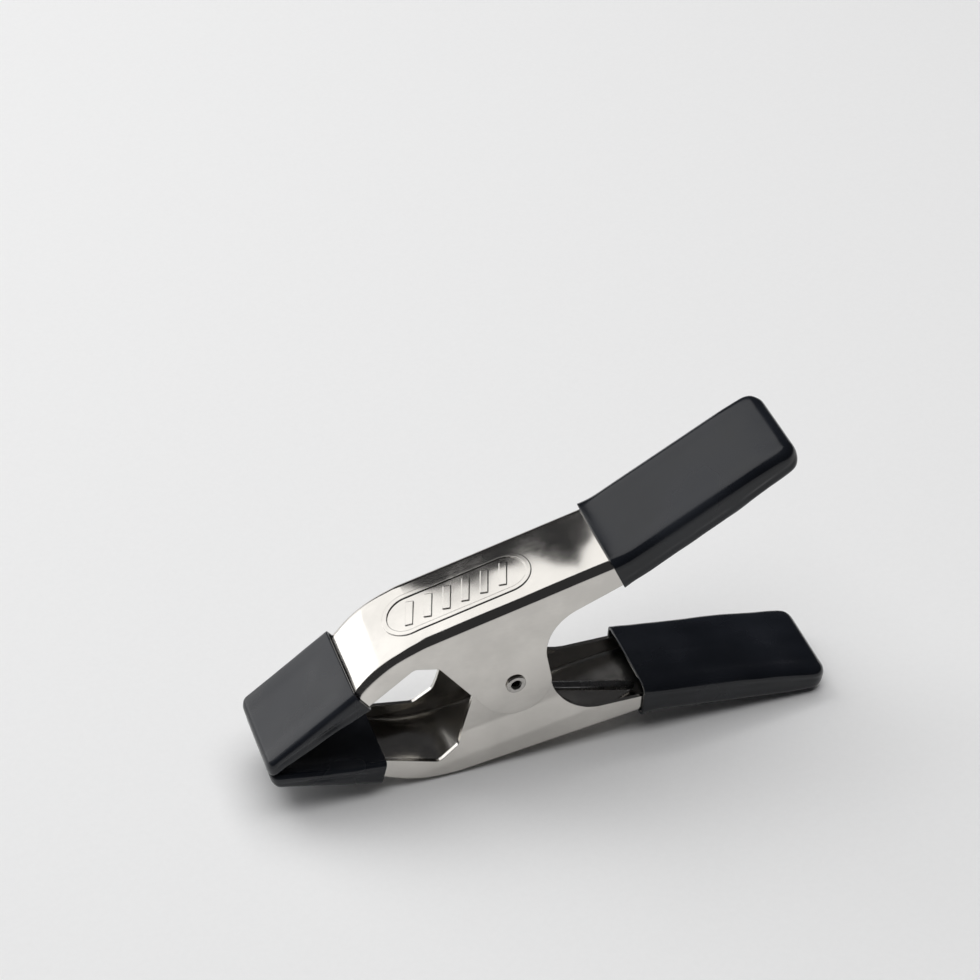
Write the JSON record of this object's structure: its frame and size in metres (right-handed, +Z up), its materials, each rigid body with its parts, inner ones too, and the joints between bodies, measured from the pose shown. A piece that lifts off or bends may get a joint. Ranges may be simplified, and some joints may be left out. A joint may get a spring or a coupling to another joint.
{
  "type": "spring clamp",
  "caption": "Hand spring clamp with two stamped channel levers crossing at a hollow rivet, a torsion spring between the handles, and black vinyl caps over jaws and handles.",
  "frame": {"origin": "centre of the hollow rivet, midway between the flanges", "axes": "+Y along the rivet, +X towards the handles, +Z up, with the clamp resting on its lower lever and the jaws towards -X"},
  "size_m": [0.1705, 0.0296, 0.0962],
  "materials": {
    "nickel_steel": "bright nickel plating, softly reflecting",
    "black_vinyl": "satin dipped vinyl",
    "spring_steel": "dark spring wire"
  },
  "bodies": {
    "lower_lever_body": {"lower_lever": "nickel_steel", "lower_jaw_pad": "black_vinyl", "lower_handle_grip": "black_vinyl", "torsion_spring": "spring_steel"},
    "upper_lever_body": {"upper_lever": "nickel_steel", "upper_jaw_pad": "black_vinyl", "upper_handle_grip": "black_vinyl", "pivot_rivet": "nickel_steel"}
  },
  "joints": [
    {"name": "jaw_pivot", "type": "hinge", "parent": "lower_lever_body", "child": "upper_lever_body", "pos_m": [0, 0, 0], "axis": [0, 1, 0], "range_deg": [0, 40], "stiffness_Nm_per_rad": 3, "springref_deg": -34.38, "deforming": ["torsion_spring"]}
  ]
}
